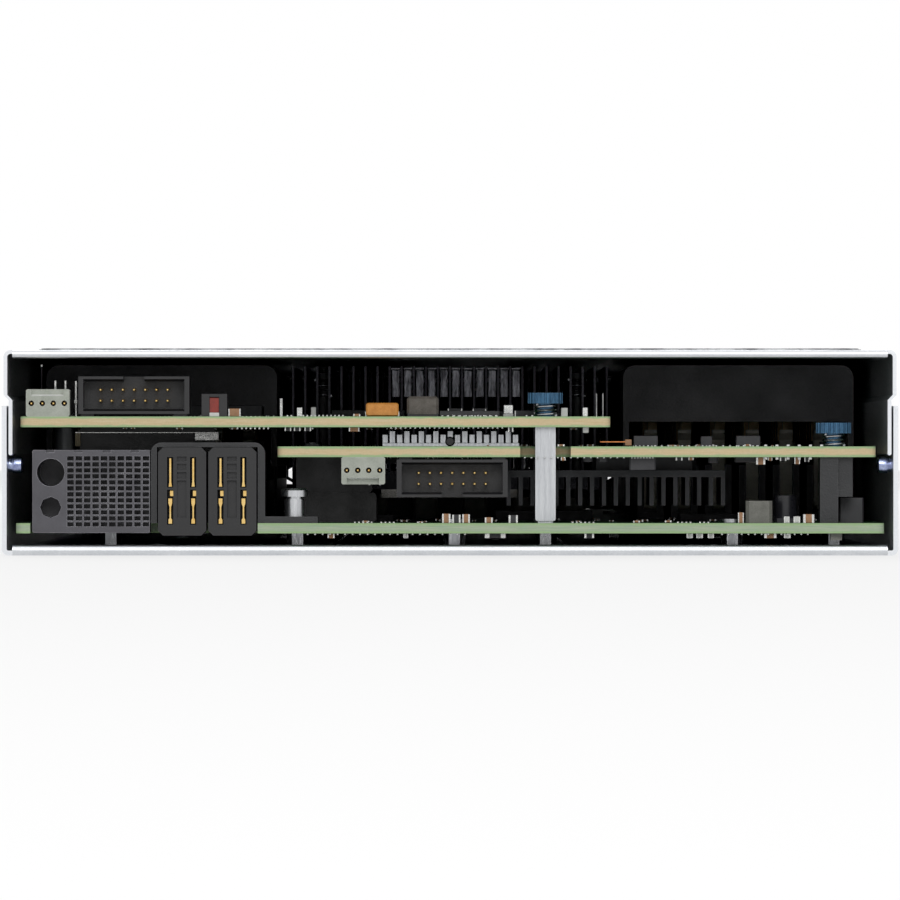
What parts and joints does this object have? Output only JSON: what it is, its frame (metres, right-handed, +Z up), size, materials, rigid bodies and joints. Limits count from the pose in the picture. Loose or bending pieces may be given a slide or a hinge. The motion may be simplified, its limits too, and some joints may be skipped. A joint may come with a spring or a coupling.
{
  "type": "blade server",
  "caption": "Half-width blade server with an open rear, stacked adapter cards, lift-off cover, two front drive sleds and an ejector lever.",
  "frame": {"origin": "centre of the outer box, on the underside of the base tray", "axes": "X across the blade (positive to the right when looking into the open rear), +Y from the rear connectors to the front bezel, +Z up through the cover"},
  "size_m": [0.2032, 0.62, 0.047],
  "materials": {
    "zinc_sheet": "bright zinc-plated sheet steel, faintly brushed",
    "zinc_fastener": "zinc-plated turned steel and milled aluminium",
    "blue_anodised": "blue anodised, straight knurl",
    "spring_steel": "drawn spring wire",
    "blue_plastic": "blue moulded plastic",
    "white_plastic": "translucent white moulded plastic",
    "board_laminate": "green solder mask over glass laminate, pale routed edges",
    "card_laminate": "green solder mask over glass laminate, tan routed edges",
    "memory_laminate": "green laminate with black chips and gold edge contacts",
    "grey_connector": "dark grey glass-filled moulding",
    "black_connector": "black glass-filled moulding",
    "gold_contact": "gold-plated contact metal",
    "black_bracket": "black coated metal",
    "ivory_plastic": "off-white nylon",
    "chip_body": "moulded packages",
    "ferrite": "grey pressed ferrite",
    "black_anodised": "black anodised aluminium",
    "fin_aluminium": "plain aluminium fins",
    "nickel_lid": "nickel-plated copper lid",
    "baffle_plastic": "dark grey thin moulding",
    "drive_shell": "bare drive housing",
    "sled_plastic": "dark grey moulding",
    "lever_steel": "nickel-plated sheet steel",
    "clear_plastic": "clear moulded light guides"
  },
  "bodies": {
    "chassis": {"base_tray": "zinc_sheet", "side_studs": "zinc_fastener", "motherboard": "board_laminate", "board_standoffs": "zinc_fastener", "board_chips": "chip_body", "board_chokes": "ferrite", "board_capacitors": "chip_body", "signal_connector": "grey_connector", "power_connectors": "grey_connector", "power_contacts": "gold_contact", "connector_bracket": "black_bracket", "bracket_screw": "zinc_fastener", "upper_card": "card_laminate", "lower_card": "card_laminate", "card_posts": "zinc_fastener", "support_block": "black_bracket", "card_connectors": "black_connector", "box_headers": "black_connector", "pin_headers": "ivory_plastic", "header_pins": "gold_contact", "upper_card_parts": "chip_body", "lower_card_parts": "chip_body", "card_heatsink": "black_anodised", "thumbscrew_springs": "spring_steel", "cpu_sockets": "black_connector", "processors": "nickel_lid", "rear_heatsink": "fin_aluminium", "front_heatsink": "fin_aluminium", "heatsink_screws": "black_anodised", "memory_sockets": "black_connector", "memory_modules": "memory_laminate", "left_air_baffle": "baffle_plastic", "right_air_baffle": "baffle_plastic", "drive_cage": "zinc_sheet", "drive_backplane": "board_laminate", "backplane_connectors": "black_connector", "front_bezel": "sled_plastic", "front_panel_board": "board_laminate", "console_connector": "black_connector", "light_pipes": "clear_plastic"},
    "top_cover": {"top_cover": "zinc_sheet"},
    "cover_button": {"cover_button": "blue_plastic"},
    "upper_thumbscrew": {"upper_thumbscrew": "blue_anodised"},
    "lower_thumbscrew": {"lower_thumbscrew": "blue_anodised"},
    "rear_bank_rear_latches": {"rear_bank_rear_latches": "ivory_plastic"},
    "rear_bank_front_latches": {"rear_bank_front_latches": "ivory_plastic"},
    "front_bank_rear_latches": {"front_bank_rear_latches": "ivory_plastic"},
    "front_bank_front_latches": {"front_bank_front_latches": "ivory_plastic"},
    "left_sled": {"left_sled": "sled_plastic", "left_drive": "drive_shell"},
    "right_sled": {"right_sled": "sled_plastic", "right_drive": "drive_shell"},
    "left_sled_lever": {"left_sled_lever": "sled_plastic"},
    "right_sled_lever": {"right_sled_lever": "sled_plastic"},
    "left_sled_button": {"left_sled_button": "blue_plastic"},
    "right_sled_button": {"right_sled_button": "blue_plastic"},
    "power_button": {"power_button": "white_plastic"},
    "locator_button": {"locator_button": "blue_plastic"},
    "ejector_lever": {"ejector_lever": "lever_steel"},
    "ejector_screw": {"ejector_screw": "blue_anodised"}
  },
  "joints": [
    {"name": "cover_lift", "type": "slide", "parent": "chassis", "child": "top_cover", "axis": [0, 0, 1], "range_m": [0, 0.06]},
    {"name": "cover_button_press", "type": "slide", "parent": "top_cover", "child": "cover_button", "axis": [0, 0, -1], "range_m": [0, 0.002], "stiffness_N_per_m": 600, "springref_m": -0.002},
    {"name": "upper_thumbscrew_turn", "type": "hinge", "parent": "chassis", "child": "upper_thumbscrew", "pos_m": [0.0217, -0.301, 0.035], "axis": [0, 0, 1], "continuous": true},
    {"name": "lower_thumbscrew_turn", "type": "hinge", "parent": "chassis", "child": "lower_thumbscrew", "pos_m": [0.0873, -0.301, 0.028], "axis": [0, 0, 1], "continuous": true},
    {"name": "rear_bank_rear_latch_swing", "type": "hinge", "parent": "chassis", "child": "rear_bank_rear_latches", "pos_m": [0, -0.17283, 0.0113], "axis": [1, 0, 0], "range_deg": [0, 32]},
    {"name": "rear_bank_front_latch_swing", "type": "hinge", "parent": "chassis", "child": "rear_bank_front_latches", "pos_m": [0, -0.03517, 0.0113], "axis": [-1, 0, 0], "range_deg": [0, 32]},
    {"name": "front_bank_rear_latch_swing", "type": "hinge", "parent": "chassis", "child": "front_bank_rear_latches", "pos_m": [0, -0.00082, 0.0113], "axis": [1, 0, 0], "range_deg": [0, 32]},
    {"name": "front_bank_front_latch_swing", "type": "hinge", "parent": "chassis", "child": "front_bank_front_latches", "pos_m": [0, 0.13683, 0.0113], "axis": [-1, 0, 0], "range_deg": [0, 32]},
    {"name": "left_sled_slide", "type": "slide", "parent": "chassis", "child": "left_sled", "axis": [0, 1, 0], "range_m": [0, 0.12]},
    {"name": "left_sled_lever_swing", "type": "hinge", "parent": "left_sled", "child": "left_sled_lever", "pos_m": [-0.0915, 0.3028, 0.033], "axis": [0, 0, 1], "range_deg": [0, 70]},
    {"name": "left_sled_button_press", "type": "slide", "parent": "left_sled", "child": "left_sled_button", "axis": [0, -1, 0], "range_m": [0, 0.0015], "stiffness_N_per_m": 600, "springref_m": -0.002},
    {"name": "right_sled_slide", "type": "slide", "parent": "chassis", "child": "right_sled", "axis": [0, 1, 0], "range_m": [0, 0.12]},
    {"name": "right_sled_lever_swing", "type": "hinge", "parent": "right_sled", "child": "right_sled_lever", "pos_m": [-0.01565, 0.3028, 0.033], "axis": [0, 0, 1], "range_deg": [0, 70]},
    {"name": "right_sled_button_press", "type": "slide", "parent": "right_sled", "child": "right_sled_button", "axis": [0, -1, 0], "range_m": [0, 0.0015], "stiffness_N_per_m": 600, "springref_m": -0.002},
    {"name": "power_button_press", "type": "slide", "parent": "chassis", "child": "power_button", "axis": [0, -1, 0], "range_m": [0, 0.0015], "stiffness_N_per_m": 600, "springref_m": -0.002},
    {"name": "locator_button_press", "type": "slide", "parent": "chassis", "child": "locator_button", "axis": [0, -1, 0], "range_m": [0, 0.0015], "stiffness_N_per_m": 600, "springref_m": -0.002},
    {"name": "ejector_swing", "type": "hinge", "parent": "chassis", "child": "ejector_lever", "pos_m": [-0.093, 0.3045, 0.009], "axis": [0, 0, 1], "range_deg": [0, 60]},
    {"name": "ejector_screw_turn", "type": "hinge", "parent": "ejector_lever", "child": "ejector_screw", "pos_m": [-0.01, 0.3045, 0.0091], "axis": [0, 1, 0], "continuous": true}
  ]
}
